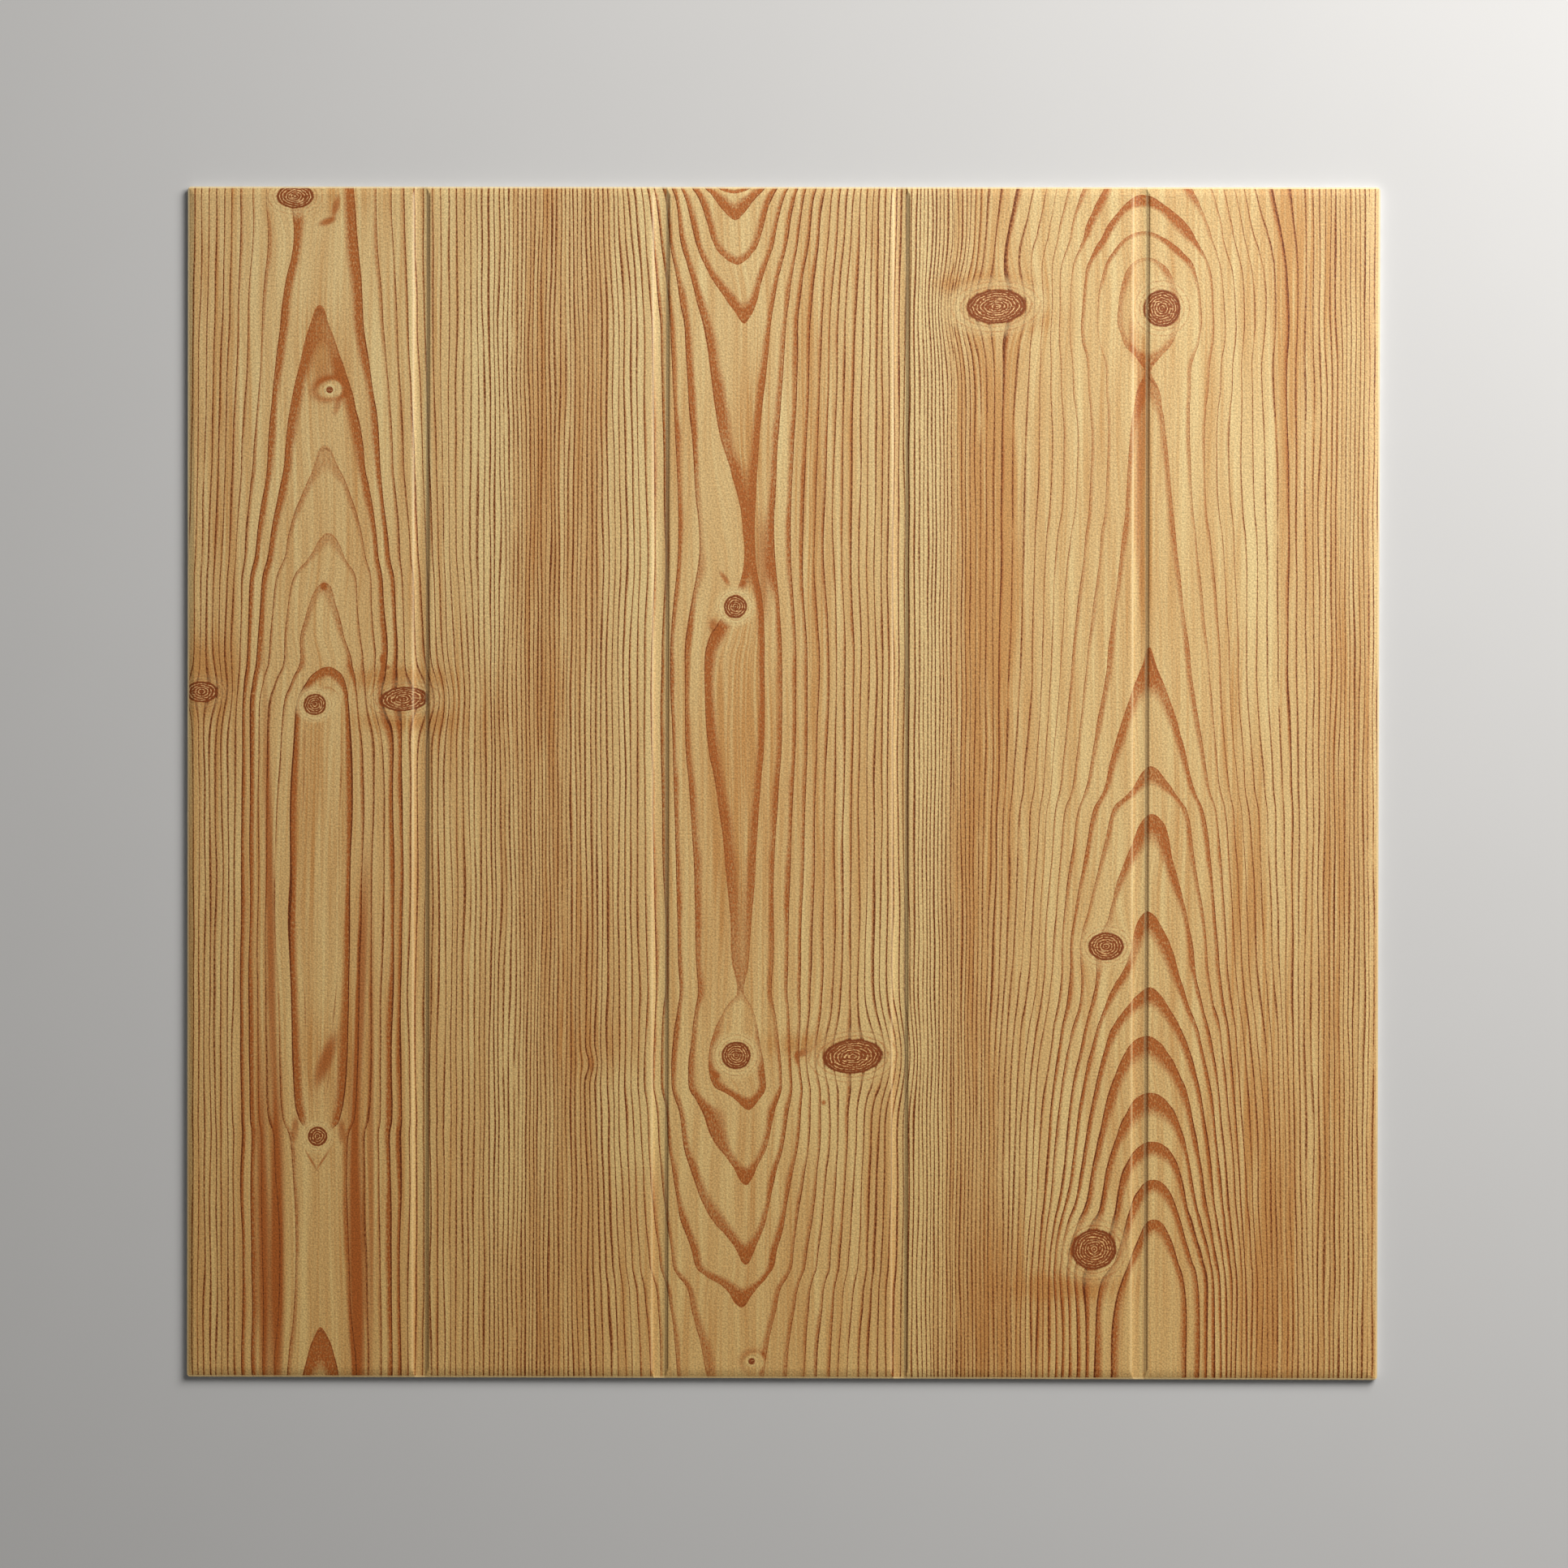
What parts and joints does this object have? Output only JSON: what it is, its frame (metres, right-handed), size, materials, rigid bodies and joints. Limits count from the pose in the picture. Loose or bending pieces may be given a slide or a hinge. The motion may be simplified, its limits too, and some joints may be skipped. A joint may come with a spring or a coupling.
{
  "type": "polystyrene ceiling tile",
  "caption": "Square foam ceiling tile with a pine plank print, grooves that part its boards, a pressed rim on all sides and a flat back to glue up.",
  "frame": {"origin": "middle of the flat glue face", "axes": "+Z out of the printed face, the boards and their grooves run along Y, X goes across the boards"},
  "size_m": [0.5, 0.5, 0.004],
  "materials": {
    "printed_foam": "satin printed pine grain on the face, bare white foam on the sides and back"
  },
  "bodies": {
    "root": {"ceiling_tile": "printed_foam"}
  },
  "joints": []
}
